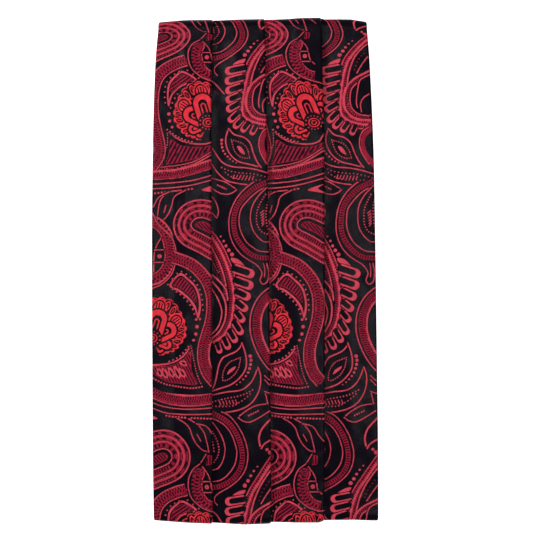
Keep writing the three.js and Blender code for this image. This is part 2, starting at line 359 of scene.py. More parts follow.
    def beads(self, places, tone=LINE):
        """Round beads, each with its place and radius."""
        for u, v, radius in places:
            for moved in self.copies(np.array([(u, v)], float)):
                window = self.window(moved[0] - radius - 2, moved[0] + radius + 2)
                down, across = self.places(window)
                depth = radius - np.hypot(across - moved[0][0], down - moved[0][1])
                self.cut(window, depth + 0.7)
                self.paint(window, depth, tone)

    def string(self, points, count, radius, tone=LINE, last=None):
        """Beads along a curve, whose radius may change up to the last one."""
        line = smooth(points)
        length = np.concatenate([[0], np.cumsum(np.hypot(*np.diff(line, axis=0).T))])
        at = np.linspace(0, length[-1], count)
        size = np.linspace(radius, last or radius, count)
        places = zip(np.interp(at, length, line[:, 0]), np.interp(at, length, line[:, 1]), size)
        self.beads(places, tone)

    def lobe(self, base, tip, radius):
        """A finger with a round end, hollow towards its base."""
        base, tip = np.array(base, float), np.array(tip, float)
        way = (tip - base) / math.hypot(*(tip - base))
        for moved in self.copies(np.array([base, tip])):
            window, gap, _, _ = self.trace(moved, radius + 3)
            start, end = moved - way * radius * 0.62
            down, across = self.places(window)
            across, down, step = across - start[0], down - start[1], end - start
            t = np.clip((across * step[0] + down * step[1]) / (step @ step), 0, 1)
            hollow = radius * 0.62 - np.hypot(across - t * step[0], down - t * step[1])
            self.cut(window, radius - gap + 0.9)
            self.paint(window, np.minimum(radius - gap, -hollow), LINE)

    def flower(self, centre, mirror=1):
        """A half flower that opens up and away from its eye, to the left or mirrored."""
        for moved in self.copies(np.array([centre], float)):
            cu, cv = moved[0]
            window = self.window((cu - 52, cv - 52), (cu + 52, cv + 52))
            down, across = self.places(window)
            down, across = down - cv, (across - cu) * mirror
            radius = np.hypot(across, down)
            turn = np.degrees(np.arctan2(-across, -down)) - FLOWER["axis"]
            turn = (turn + 180) % 360 - 180
            arc = radius * math.radians(1)
            reach = np.interp(turn, FLOWER["turn"], FLOWER["reach"])
            edge = reach - 2.2 * (wave(turn, 12) / 6) ** 2
            side = (FLOWER["half"] - abs(turn)) * arc
            self.cut(window, np.minimum(edge + 1.5 - radius, side + 1))
            body = np.minimum(edge - radius, side)
            self.paint(window, np.minimum(body, 1.15 - body), PETAL)
            # Lace under the edge: a long loop with a spine in each scallop
            spine = abs(wave(turn, 12)) * arc
            loop = np.hypot(spine * 1.25, (radius - reach * 0.82) * 0.62)
            self.paint(window, np.minimum(0.55 - abs(loop - 2.9), side), PETAL)
            self.paint(window, np.minimum(np.minimum(0.45 - spine, 1.5 - loop), side), PETAL)
            # The rim of the flower's heart, streaked from the eye outwards
            heart = np.minimum(reach * 0.7 - 1.6 * (wave(turn - 4, 24) / 12) ** 2 - radius, side)
            self.paint(window, heart, PETAL)
            self.sow(window, heart - 0.7, 0.62, turn * 0.3)
            # Crowns on the edge, each a streaked block under an arch
            for at in FLOWER["crowns"]:
                arch = np.hypot((turn - at) * arc, (radius - reach * 0.76) * 0.95)
                self.cut(window, np.minimum(7.6 - arch, side))
                self.paint(window, np.minimum(0.65 - abs(arch - 7.3), side), PETAL)
                block = np.minimum(5.2 - arch, side)
                self.paint(window, block, PETAL)
                self.sow(window, block - 1, 0.5, (turn - at) * arc)
            # Petals with a dark slit and a tongue in it, each set off by a dark line
            for at, far, wide in FLOWER["petals"]:
                angle = math.radians(at + FLOWER["axis"])
                tip = -math.sin(angle), -math.cos(angle)
                t = across * tip[0] + down * tip[1]
                beside = abs(across * tip[1] - down * tip[0])
                gap = np.hypot(t - np.clip(t, 8, far - wide), beside)
                self.cut(window, wide + 1.7 - gap)
                self.paint(window, np.minimum(wide - gap, side), PETAL)
                inner = np.hypot(t - np.clip(t, 7, far - 1.12 * wide), beside)
                self.cut(window, 0.5 * wide - inner)
                tongue = np.hypot(t - np.clip(t, 7, far - 1.3 * wide), beside)
                self.paint(window, np.minimum(0.3 * wide - tongue, tongue - 0.3 * wide + 1.3), PETAL)
            # The eye: two flat rings in a circle of beads
            self.cut(window, 10.2 - radius)
            flat = np.hypot(across, down * 1.25)
            for ring in (5.2, 2.4):
                self.paint(window, 0.6 - abs(flat - ring), PETAL)
            angles = np.degrees(np.arctan2(down, across))
            bead = np.hypot(flat - 8.3, wave(angles, 27.7) * math.radians(8.3))
            self.paint(window, 0.9 - bead, PETAL)


def strip_a():
    """The chart of pleats 1 and 3."""
    c = Chart()
    # Fan and rope bands, upper
    c.patch([(20.4, 139.8), (30.8, 145.1), (42.3, 146.7), (53, 146.7), (63, 144.4), (70, 141), (70, 145),
        (58, 153.6), (46, 158.9), (34.6, 161.4), (22, 163.4), (15.5, 164), (18.5, 153.6)],
        streaks=(0.62, 0.34))
    for a, b in (((28, 152), (24.5, 157)), ((36.5, 149), (31, 158)), ((43, 150), (39, 157)), ((49, 150),
        (46, 155.5)), ((55, 149), (53, 153)), ((27, 146), (24, 149.5))):
        middle = np.add(a, b) / 2
        c.hole([a, middle - (0.8, 0), b, middle + (0.8, 0)])
    c.line([(18.5, 132), (27, 138.3), (38.4, 142.8), (53, 144), (62.9, 141.3), (66.5, 136), (70, 130)],
        1.5)
    c.string([(17, 129.5), (25, 135.3), (36, 140.4), (42, 141.8)], 9, 0.95)
    c.line([(17, 133), (16.8, 146), (11.5, 165.5)], 1.2, dash=2.4)
    c.band([(-2, 173.6), (12.4, 171.6), (25, 169.6), (35, 167.2), (49.9, 162), (70, 150)],
        [(0, 1.4, "line"), (2.2, 3.8, "seeds")], clear=0.4)
    c.line([(2, 168.2), (13, 166.8), (35, 163.9), (50, 158.6), (70, 146)], 1.0)
    c.band([(-2, 180.4), (25, 178.4), (35, 176.6), (50, 172.4), (72, 165.2)], [(0, 1.1, "line"),
        (1.3, 2.9, "seeds"), (3.1, 6.3, "ticks"), (6.4, 7.8, "seeds"), (8.0, 9.5, "line")], clear=0.5)
    c.line([(-2, 184.2), (25, 182.4), (45, 179.8), (70, 172.6)], 1.2)
    c.line([(-2, 189), (25, 187.3), (45, 184.3), (70, 177.4)], 1.2)
    c.line([(-2, 194), (12, 192.4), (25, 191.2), (43, 188.6)], 1.9, dash=3.4)
    c.patch([(51.5, 190), (58, 186.8), (68, 184), (62, 188.4), (70, 193), (60, 191.8)], LINE)
    # Leaf and lines at its left
    c.line([(36, 190), (20, 191.6), (11.5, 198), (8.4, 207), (6.9, 220)])
    c.line([(36, 190), (24.5, 196.4), (21.4, 205.6), (17.6, 214.8), (11.5, 221), (6.5, 221.5)])
    c.line([(15.7, 205), (13.8, 212.5)], 1.1)
    c.line([(19, 191.6), (8.4, 197.4), (3, 207)])
    # Ring that opens to the right
    c.ring([(45, 224.5), (48, 221.8), (53.5, 221.6), (61, 224.6), (70, 229), (82, 235), (82, 246),
        (70, 239.6), (60, 233.6), (50, 228.6), (46, 226.4)])
    # Half ring with its box
    c.band([(-6, 224), (2, 227), (8, 232), (11.5, 238.5), (13.6, 248.5), (14.2, 258), (10, 268),
        (3, 273.4), (-6, 273)], [(0, 1.2, "line"), (1.6, 3.6, "seeds"), (3.9, 7.4, "ticks"),
        (7.8, 10.2, "seeds"), (10.4, 11.7, "line")])
    c.line([(2.5, 213), (6.5, 221.7), (11.5, 227.8), (19.9, 235.4), (24.5, 243.9), (26, 253), (25.2, 263),
        (20.7, 275), (11.5, 284), (2, 288.3)])
    c.line([(10.5, 238), (6, 246), (3.8, 255), (3.4, 272)])
    c.line([(4, 249.6), (13.6, 249.4)])
    c.line([(3.5, 262.2), (13, 262.2)])
    c.beads([(9.3, 255.8, 2.2)])
    c.hole([(8.6, 255.8), (9.3, 255.1), (10, 255.8), (9.3, 256.5)])
    # Braid that runs from the half ring down the right side
    c.band([(21.5, 263.2), (26.4, 264.6), (36.7, 268.8), (45.9, 276.5), (52.6, 286.4), (56, 297.9),
        (56.2, 310.9), (54.3, 322.4), (51.3, 332.3), (48.2, 343), (47.1, 353), (48, 364.2), (52.4, 376.4),
        (61, 387)])
    # Tear with beads
    c.patch([(29.8, 273.2), (19, 285.4), (29, 291.8), (38.3, 299.4), (44.8, 309.4), (48.2, 319),
        (50.9, 307.8), (50.1, 297.1), (46.7, 287.2), (39, 278.8)], LINE)
    c.hole([(29.9, 275.4), (21.4, 285.2), (30, 289.8), (39.4, 297.6), (45.6, 306), (47.9, 313.4),
        (48.9, 305), (48.1, 297.1), (44.9, 288), (37.8, 280.4)])
    c.patch([(30.4, 277.2), (23, 284.8), (30.6, 288.5), (39.8, 295.6), (46, 302.4), (46, 295),
        (42.8, 287.6), (36.5, 281)], STRIPE, clear=0, streaks=(0.7, 0.5))
    c.string([(27, 273.4), (21.8, 279.4), (17.6, 284.4)], 3, 0.9)
    c.string([(31.6, 271.6), (38, 275.3), (45.5, 282), (50.3, 291), (52.3, 300), (52.8, 310)], 10, 0.9)
    c.string([(22.2, 289.2), (30, 294), (37.5, 301.3), (42.8, 309), (45.6, 318.4)], 9, 0.95)
    c.beads([(46.2, 319.4, 1.3), (49.9, 319, 1.2), (47, 326.6, 1.8), (45.9, 333.9, 1.7),
        (43.6, 340, 1.5)])
    # Flower at the left edge
    c.flower((1.5, 338), mirror=-1)
    # Fan, lower
    c.patch([(-3, 367), (19, 365.6), (28.3, 362), (34.4, 358), (40.6, 350.5), (41.2, 366), (43, 374),
        (46.9, 384.3), (30.6, 383.6), (19, 382.4), (12, 379.6), (3.4, 374.2), (-3, 372)], FILL,
        streaks=(0.9, -0.45))
    for a, b in (((18.5, 368), (22.6, 375.8)), ((29, 368.6), (34.4, 375.6)), ((30.5, 361), (35.5, 364.4)),
        ((12, 368.5), (16, 376.5)), ((7.5, 369), (10.5, 375)), ((24, 366.5), (29, 377))):
        c.drop(a, b)
    c.line([(-3, 365), (3.4, 365), (19.1, 363.4), (28.3, 359.6), (34.4, 354.8), (41, 345.2)], 1.6)
    c.string([(19, 361.4), (27, 357.9), (33, 353), (38.5, 346.6)], 7, 1.0)
    c.line([(41, 345.5), (43.6, 358.8), (45.9, 370.3), (49, 379.5), (52.2, 386)], 1.3, dash=2.6)
    c.line([(52.2, 386.6), (45, 387.8), (38.3, 387.9), (23, 385.8), (12.2, 383), (-2, 375.5)], 1.7,
        dash=3.0)
    # Rope bands, lower
    c.band([(75, 391.5), (61.2, 393.2), (45.9, 394.6), (30.6, 394.2), (15.3, 392.4), (3.4, 387.6),
        (-4, 383.5)], [(0, 1.9, "line")], clear=0.6)
    c.band([(-4, 396), (3.4, 399), (15.3, 403.6), (30.6, 406.2), (45.9, 406.2), (61.2, 404.2),
        (75, 402.5)], [(0, 1.4, "line"), (1.7, 3.3, "seeds"), (3.5, 7.3, "ticks"), (7.5, 9.4, "seeds")],
        clear=0.3)
    c.line([(-4, 400), (3.4, 403.2), (15.3, 407), (30.6, 408.9), (45.9, 408.9), (61.2, 407.8), (75, 407)],
        1.2)
    c.line([(-4, 405), (3.4, 408.6), (15.3, 412.8), (30.6, 414.3), (45.9, 414.3), (61.2, 413.9),
        (75, 413.4)], 1.2)
    c.line([(16, 415.8), (25, 417), (38, 417.7), (61, 418.5), (75, 418.5)], 1.9, dash=3.2)
    c.patch([(0, 415), (5, 417), (7.5, 418.6), (3, 419.2), (-2, 418)], LINE)
    # Leaf, lower
    c.line([(26.8, 418.2), (35.2, 423.1), (39.8, 428.5), (42.4, 436), (45.9, 442.6), (52, 449),
        (58.9, 451.6)])
    c.line([(38.3, 418.5), (47.4, 424.2), (53.6, 431.5), (56.6, 440.7), (58.9, 451.6)])
    c.line([(47, 433.8), (50.9, 440.7)], 1.1)
    c.line([(46.5, 423.4), (56.6, 426.2), (62.7, 434.6), (68, 441)])
    # Ring that opens to the left
    c.ring([(-14, 458), (0, 457.6), (8, 453.4), (14, 452.4), (17.5, 455.4), (16.5, 459), (12, 461.7),
        (4, 465.2), (-14, 472)], 1.04)
    # Connector and half ring at the right
    c.patch([(57.5, 454), (62, 455), (61.5, 463.6), (56, 464.6)], curved=False, streaks=(1, 0))
    c.line([(56, 453.4), (53, 458.5), (49.7, 463.3)], 1.1)
    c.band([(66, 501), (62, 500), (57.4, 497), (53.6, 490.9), (52.2, 484), (52.8, 478.6), (54.6, 473.5),
        (53, 466)], [(0, 1.2, "line"), (1.6, 3.6, "seeds"), (3.9, 8.6, "ticks"), (8.9, 11.0, "seeds")])
    c.line([(49.7, 463.3), (42.8, 468.7), (38.6, 477.8), (38.3, 487), (41.3, 497), (49, 504.6),
        (56.6, 508.5), (72, 513)])
    c.line([(52.5, 465.8), (58.1, 474), (60.4, 481), (61.8, 488.6), (66, 494)])
    c.line([(52.6, 480.5), (60, 480.5)])
    c.line([(53.6, 491.2), (62, 491.2)])
    c.beads([(56.8, 485.9, 2.2)])
    c.hole([(56.1, 485.9), (56.8, 485.2), (57.5, 485.9), (56.8, 486.6)])
    # Braid from the half ring down the left side
    c.band([(6, 600), (13, 589), (15.5, 579), (14, 567), (11, 555), (8.6, 541), (8.4, 530), (9.4, 520),
        (12.4, 510), (19.1, 502.6), (29, 497.6), (38, 495)])
    # Tear with beads, lower
    c.patch([(32.9, 500), (47.4, 509), (40, 512.6), (30.6, 516.4), (22.5, 524), (18.4, 536), (16.6, 524),
        (18.6, 511.6), (25, 504.4)], LINE)
    c.hole([(32.8, 502), (44.6, 509), (38.6, 511.4), (29.4, 515.2), (21.6, 522.4), (18.4, 529),
        (18.6, 521), (20.4, 512.6), (26, 506)])
    c.patch([(33.4, 503.6), (42.6, 509), (36, 511.6), (28.4, 515.2), (21.4, 521.6), (20.2, 517),
        (25, 508.2)], STRIPE, clear=0, streaks=(0.5, 0.7))
    c.string([(37.4, 499.4), (42.5, 503), (48.6, 507.4)], 3, 0.9)
    c.string([(29, 500.6), (22.6, 504.4), (17.6, 509.4), (15, 516), (14.2, 524), (15, 532)], 8, 0.9)
    c.string([(45.6, 512.6), (36, 517), (28, 523), (23, 530), (20.4, 537)], 8, 0.9)
    c.beads([(18.6, 543, 1.7), (19.4, 550, 1.6), (21.8, 556, 1.4)])
    # Flower at the right, upper
    c.flower((58.3, 122.6))
    return c


def strip_b():
    """The chart of pleats 2 and 4."""
    c = Chart()
    # Strands round the upper bulb
    c.band([(64, 451), (59.4, 456.5), (52.5, 466.4), (45.6, 477), (38.4, 488.2), (33.6, 500),
        (30.6, 511.5), (28.6, 523), (27.2, 535), (28.4, 545.5), (34, 552), (44, 556.6), (56, 558.6),
        (66, 558)], [(0, 1.4, "line"), (1.8, 4.0, "seeds"), (4.3, 6.7, "line"), (7.0, 8.8, "seeds")])
    c.line([(64, 466), (59.4, 471), (51.6, 482.4), (45.6, 494.7), (42, 506.2), (40.2, 515.3)], 1.6)
    c.band([(64, 499), (59.4, 501.6), (48.4, 507.7), (40.6, 515.6), (37, 525), (36.4, 535), (40.4, 543.4),
        (49, 548), (62, 549)], [(-1, 1.1, "line"), (1.8, 3.6, "seeds"), (4.3, 5.5, "line")])
    c.line([(64, 503.6), (54, 509.6), (45, 517.6), (42.4, 528), (43.6, 537), (50, 543), (60, 545)], 1.3)
    c.string([(59, 480.5), (53, 489), (49, 498.5)], 6, 0.8, tone=STRIPE)
    c.line([(63, 484), (56, 494), (51, 502)], 1.2)
    c.line([(64, 503), (54, 509), (50.4, 520), (48.6, 531), (49.4, 537)], 1.2)
    c.line([(62, 523), (56, 527), (52.6, 533), (53, 541)], 1.2)
    c.string([(47.4, 465.6), (44, 469.6), (41, 474), (38.2, 479), (34.8, 483.8)], 5, 1.0, last=2.1)
    c.patch([(35.2, 488), (29, 489.4), (22.4, 493.8), (29, 493.6), (34, 491.6)], LINE)
    for base, tip, size in (((32.5, 497.4), (19, 500), 4.3), ((30.8, 507), (18.6, 510), 4.2),
        ((29.2, 516.5), (19.2, 519.6), 4.1), ((27.6, 525.4), (19.2, 528.8), 3.9), ((26.6, 534),
        (19.4, 538), 3.7), ((27.2, 543), (21, 548.6), 3.5), ((31, 549.6), (26, 554.8), 3.3), ((37, 553.6),
        (33.4, 558.4), 3.2), ((45, 556.6), (42.4, 561.4), 3.0)):
        c.lobe(base, tip, size)
    # Lens at the right edge
    c.patch([(57.6, 128), (52.4, 133), (50, 141), (51.4, 152.6), (57.4, 163.2), (62, 166), (62, 127)])
    c.hole([(60, 133), (55.4, 137.5), (54.2, 143), (55.6, 151), (60, 158), (66, 160), (66, 131)])
    c.line([(59, 127), (52.6, 131.6), (49, 141), (50.4, 152.6), (57, 164.5)], 1.2)
    # Eye leaf, upper
    c.line([(18.6, 128.3), (15.9, 136.7), (15.9, 144.4), (19.7, 153.6), (28.2, 161.2), (39.6, 164.3),
        (51.1, 167.3)], 1.4)
    c.line([(18.6, 128.3), (24.3, 134.4), (34.3, 137.5), (40.4, 143.6), (43.5, 153.6), (47.3, 162),
        (51.1, 167.3)], 1.4)
    c.line([(21.3, 139.6), (32, 143.2), (37.4, 149), (39.8, 158.4)], 1.2, dash=2.5, clear=0.3)
    c.line([(21.3, 139.6), (25.1, 152), (32, 157.4), (39.8, 158.4)], 1.2, dash=2.5, clear=0.3)
    c.patch([(27, 146), (31.5, 147.4), (35, 154.2), (30.5, 152.4)], LINE)
    c.string([(11.4, 139.8), (11.4, 145), (13.2, 151.3), (15.9, 154.7), (18.6, 157.6), (22.4, 160.8),
        (26.2, 162.9)], 9, 1.5, last=0.8)
    # Plume, upper
    c.line([(2, 148), (7.5, 156.6), (12.9, 162.7), (22.8, 166.6), (35.8, 167.8), (48, 170), (62, 174.4)],
        1.3)
    c.line([(0, 162), (7.5, 172.7), (16.7, 180.3), (28.2, 183.4), (41.2, 185)], 1.3)
    c.string([(11.3, 167.3), (18.2, 170.4), (26.3, 172.3), (34.3, 173.3), (41.2, 173.6), (50.4, 175.4),
        (62, 179)], 15, 0.8)
    c.string([(15.2, 172.4), (20.5, 176.3), (28, 179.2), (38, 180), (50, 180)], 11, 0.75)
    for i in range(7):
        c.line([(24.6 + 3.2 * i, 174.6 + 0.25 * i), (22.9 + 3.2 * i, 178.4 + 0.2 * i)], 1.0, clear=0.2)
    # Small leaf, upper
    c.line([(-2, 177), (5, 179), (15, 181.9), (22.6, 186.5), (26.8, 189.6)])
    c.line([(-2, 186), (2.7, 188.8), (8.9, 192.6), (16.5, 194.2), (22.6, 192.6), (26.8, 189.6)])
    c.line([(7.3, 185), (15.7, 188.8)], 1.8, dash=2.4)
    # The C
    c.line([(44, 182), (40.6, 184), (31.8, 191.8), (24.2, 202.5), (19.6, 214.8), (18.8, 225.5),
        (20.3, 236.2), (24.9, 246.2), (31.8, 254.6), (39.5, 260.2), (47.1, 265.3), (51.9, 272.7),
        (50, 280), (53, 284), (57.4, 281), (58.4, 272), (56.6, 263)])
    c.band([(60, 180.5), (54.8, 183), (43.3, 188.8), (31.8, 199.5), (25.7, 210.2), (23.8, 222.4),
        (25.7, 234.7), (31, 243.9), (38.7, 252), (47.1, 256.6), (57.1, 257.6), (64, 256.8)],
        [(-1.9, 1.7, "ticks")])
    c.line([(62, 184), (57, 186.6), (47.1, 191.8), (37.9, 200.2), (31, 209.4), (29.1, 220.9), (31, 231.6),
        (36.4, 241.4), (44, 247.7), (50.2, 250.7), (62, 251.6)])
    c.line([(57, 187.2), (48.6, 195.7), (42.5, 205.6), (40.4, 216.3), (41.8, 227), (46.3, 235),
        (53.5, 241), (62, 241.4)])
    c.string([(55.5, 194.4), (49.4, 204.8), (46.5, 214.8), (47.2, 224), (50.4, 230.4), (55.5, 233.6),
        (60, 234)], 18, 0.85)
    c.string([(59.4, 196), (57, 205), (56, 214), (56.6, 224), (58.6, 232)], 13, 0.8)
    for i in range(6):
        c.line([(50.6 + 0.3 * i, 213 + 2.6 * i), (53.9, 210.4 + 2.6 * i)], 1.1, clear=0.2)
    c.line([(53.4, 263), (54.8, 270), (54.4, 277)], 1.0)
    # Hook at the left
    c.line([(-2, 194), (3, 198.2), (6, 203.3), (8.1, 211), (6.6, 218)])
    c.line([(-2, 209), (2, 213.2), (6.4, 218)])
    # Strands of the crossing bands
    c.band([(4, 346.8), (14.2, 341), (21, 333), (25.6, 322.4), (27.6, 310.9), (28.6, 299.4), (27.8, 288),
        (25.4, 276.5), (21.8, 265.4), (15.6, 250.6), (9.4, 240), (2, 231), (-4, 226)], [(0, 1.4, "line"),
        (1.8, 3.8, "seeds"), (4.0, 6.4, "line"), (6.7, 9.0, "seeds")])
    c.band([(17.8, 300), (16.9, 288), (14.6, 277), (11.4, 266.8), (6.6, 256.1), (1.2, 245.4), (-3, 239)],
        [(0, 1.5, "line"), (2.2, 4.0, "seeds")])
    c.line([(-3, 251), (3, 263), (8, 273)], 1.0, dash=2.4)
    c.line([(-3, 258), (4, 270), (9, 280)], 0.9, dash=2.1, tone=STRIPE)
    c.line([(-3, 271), (2, 275), (10.4, 282.8), (16, 290.4), (17.6, 300)], 1.5)
    c.line([(-3, 278), (2.7, 282.6), (10.4, 291.8), (15, 301.7), (15.9, 310.9), (14.2, 321.6),
        (8.9, 331.6), (2, 338), (-3, 341)], 1.7)
    c.line([(-3, 284), (1.2, 288.7), (6.6, 297.1), (10.4, 306.3), (11.5, 312.8), (10, 321.6),
        (6.6, 328.5), (1.2, 334), (-3, 337)], 1.4)
    c.string([(10.4, 236.2), (13.4, 240.4), (15.6, 244.9), (18.4, 249.4), (22, 254)], 5, 1.0, last=2.1)
    c.patch([(21, 257.6), (28, 259), (35, 266.2), (28, 264.6), (22.6, 262)], LINE)
    for base, tip, size in (((26.5, 269), (39.8, 273.4), 4.8), ((27.9, 281), (38.9, 285), 4.7),
        ((28.9, 292.5), (36.6, 296.2), 4.4), ((28.9, 303.6), (34.3, 307.9), 4.0), ((27.8, 314),
        (31.8, 319), 3.8), ((25.4, 323.6), (30.2, 331.4), 3.7), ((20.6, 332.6), (24.6, 339.4), 3.6),
        ((14.8, 340.6), (17.6, 346.4), 3.5), ((7.4, 345.6), (9.2, 350.6), 3.0)):
        c.lobe(base, tip, size)
    # Arc band at the lower right
    c.band([(60, 286), (50.9, 293.3), (44.8, 301.7), (41, 310.9), (39.4, 320.8), (39.7, 331.6),
        (42.3, 342.3), (46.1, 351.5), (48.8, 356.8), (53.2, 363.6), (59.2, 370.6), (62, 373)],
        [(0, 1.3, "line"), (4.0, 8.6, "ticks"), (8.9, 10.9, "seeds"), (11.2, 12.5, "line")])
    # Eye leaf, lower
    c.line([(31.8, 342.6), (30.6, 346.4), (25.7, 351.5), (16.5, 355.6), (12.2, 358.2), (8.9, 364.2),
        (6.6, 374.1), (4.3, 384.1), (1, 391)], 1.4)
    c.line([(31.8, 342.6), (34.9, 351.5), (36.5, 361.5), (34.9, 370.3), (28.8, 378.7), (20.3, 384.8),
        (8.9, 388.7), (0, 391.6)], 1.4)
    c.line([(30.7, 357.3), (28.8, 367.2), (24.2, 374.9), (18, 379.5), (12.7, 381)], 1.2, dash=2.5,
        clear=0.3)
    c.line([(30.7, 357.3), (24.9, 359.6), (18.8, 362.7), (14.2, 368.8), (12.3, 376.4), (12.7, 381)], 1.2,
        dash=2.5, clear=0.3)
    c.patch([(26, 366), (23.8, 369.8), (17, 374.6), (19.4, 369.6)], LINE)
    c.string([(40.2, 356), (41, 360.4), (40.4, 365.4), (39, 370.6), (36.6, 375), (34, 378.2),
        (30.7, 381.8), (26.8, 384.6)], 9, 1.8, last=0.8)
    # Plume, lower
    c.line([(0, 395.6), (3.5, 394.8), (16.5, 391.9), (30.3, 390.2), (38.7, 384.8), (44, 377.2),
        (47.9, 366.8)], 1.3)
    c.line([(47.9, 366.8), (50.5, 374.9), (50.2, 385.6), (47.1, 394.8), (41, 403.2), (31.8, 408.8),
        (20, 411.8), (11.2, 412.4)], 1.3)
    c.string([(42.5, 389.8), (36.4, 393.3), (28, 396.2), (19.6, 397.8), (11.9, 399.4), (2, 402)], 14,
        0.85)
    c.string([(40, 394), (35, 398.6), (29, 402.6), (22, 406), (10, 406.6), (2, 406)], 13, 0.8)
    for i in range(6):
        c.line([(9 + 3.3 * i, 401.2 - 0.3 * i), (10.6 + 3.3 * i, 405.4 - 0.4 * i)], 1.1, clear=0.2)
    # Small leaf, lower
    c.line([(28, 417.4), (34.9, 411.6), (45.6, 405.6), (57.8, 403.6)])
    c.line([(57.8, 403.6), (56, 396), (54.6, 391.2)])
    c.line([(54.6, 391.2), (62, 394)])
    c.line([(28, 417.4), (33.3, 420.8), (39.5, 421.8), (47.1, 418.6), (60, 410.6)])
    c.line([(38.7, 415.4), (47.9, 410.9)], 1.8, dash=2.6)
    c.line([(54.4, 375.4), (60, 380.6)], 1.1)
    c.line([(54.4, 379.4), (60, 385.4)], 1.1)
    # The mirrored C
    c.band([(0, 412), (4.3, 414.3), (12.7, 418.5), (20.3, 424.4), (27, 434.4), (31, 444.9), (32.6, 455.7),
        (31, 465.6), (25.7, 474.8), (18, 481.4), (8.9, 485.6), (0, 487.6)], [(-1.9, 1.7, "ticks")])
    c.line([(11.2, 411.8), (19.6, 416.2), (27.2, 424.6), (33.3, 435.3), (36.8, 446), (37.9, 455.4),
        (36, 466.4), (30.3, 476.3), (20.3, 485), (8.9, 491.8), (4.3, 496.4), (4.3, 501), (7, 504.4)])
    c.line([(0, 417.6), (4.3, 419.4), (12.7, 423.9), (18.8, 430), (24, 439.9), (26.8, 451.8),
        (24.9, 463.3), (18.8, 472.5), (10.4, 479.2), (0, 481.4)])
    c.line([(-2, 418), (3.5, 424.2), (9.8, 433.2), (13.9, 443), (14.6, 451.8), (11.9, 461.8),
        (7.3, 467.9), (0, 470)])
    c.string([(0, 429), (4.3, 435.4), (7.3, 442.7), (8.5, 449.2), (7.3, 455.8), (3.6, 462)], 14, 0.85)
    c.string([(0, 436), (2.6, 444), (3.4, 451)], 6, 1.0)
    # Tip at the right
    c.line([(62, 417), (59.4, 420), (51.9, 428.5), (49, 436.9), (49.8, 444), (51.3, 448)], 1.8)
    c.line([(51.3, 448), (54.4, 443.4), (62, 438.6)], 1.6)
    c.beads([(57, 449, 1.6), (60, 452, 2.0)])
    # Lines at the lower left
    c.line([(0, 509), (5, 513), (14, 523)], 1.2)
    c.line([(-2, 514), (8, 523.6)], 0.9, dash=2.0, tone=STRIPE)
    return c


def sample(chart, across, down):
    """Depth, tone, dark threads and their beat at places in squares, mirrored past the sides."""
    across = np.abs(across)
    last = COLUMNS - 1.5
    across = last - np.abs(last - across % (2 * last))
    u = across * FINENESS
    v = (down - FIRST_ROW) % PERIOD * FINENESS
    c, r = np.floor(u).astype(int), np.floor(v).astype(int)
    fu, fv = u - c, v - r
    rows = chart.red.shape[0]
    r, below = r % rows, (r + 1) % rows
    red, tone = chart.red, chart.tone
    above = red[r, c] * (1 - fu) + red[r, c + 1] * fu
    beneath = red[below, c] * (1 - fu) + red[below, c + 1] * fu
    depth = above * (1 - fv) + beneath * fv
    seeds, beat = chart.seeds, chart.beat
    near = np.rint(v).astype(int) % rows, np.rint(u).astype(int)
    return depth, tone[near], seeds[near], beat[near]


def outline_at(at, column):
    """A column of OUTLINE, on a smooth curve through its rows."""
    rows = np.vstack([OUTLINE[:1], OUTLINE, OUTLINE[-1:]])
    i = np.clip(np.searchsorted(OUTLINE[:, 0], at), 1, len(OUTLINE) - 1)
    before, a, b, after = rows[i - 1], rows[i], rows[i + 1], rows[i + 2]
    span = b[..., 0] - a[..., 0]
    t = np.clip((at - a[..., 0]) / span, 0, 1)
    value = [row[..., column] for row in (before, a, b, after)]
    slope_1 = (value[2] - value[0]) / (b[..., 0] - before[..., 0]) * span
    slope_2 = (value[3] - value[1]) / (after[..., 0] - a[..., 0]) * span
    rest = 1 - t
    from_a = (1 + 2 * t) * rest**2 * value[1] + t * rest**2 * slope_1
    return from_a + t**2 * (3 - 2 * t) * value[2] - t**2 * rest * slope_2


def inner_wing_lift(y):
    over_hook = HOOK_THICK + LAYER_GAP
    over_wing = STACK + 2 * LAYER_GAP
    return over_hook * ease(y, LOWER_FOLD_RADIUS, HOOK_TIP) + (over_wing - over_hook) * ease(
        y, STRAP_START - TAB_LENGTH, OUTER_END - TAB_LENGTH
    )


def front_base(y):
    past = ease(y, INNER_END - TAB_LENGTH, TURNS_AT)
    return lerp(inner_wing_lift(y) + STACK + AIR, STACK + 2 * UPPER_FOLD_INSIDE, past)


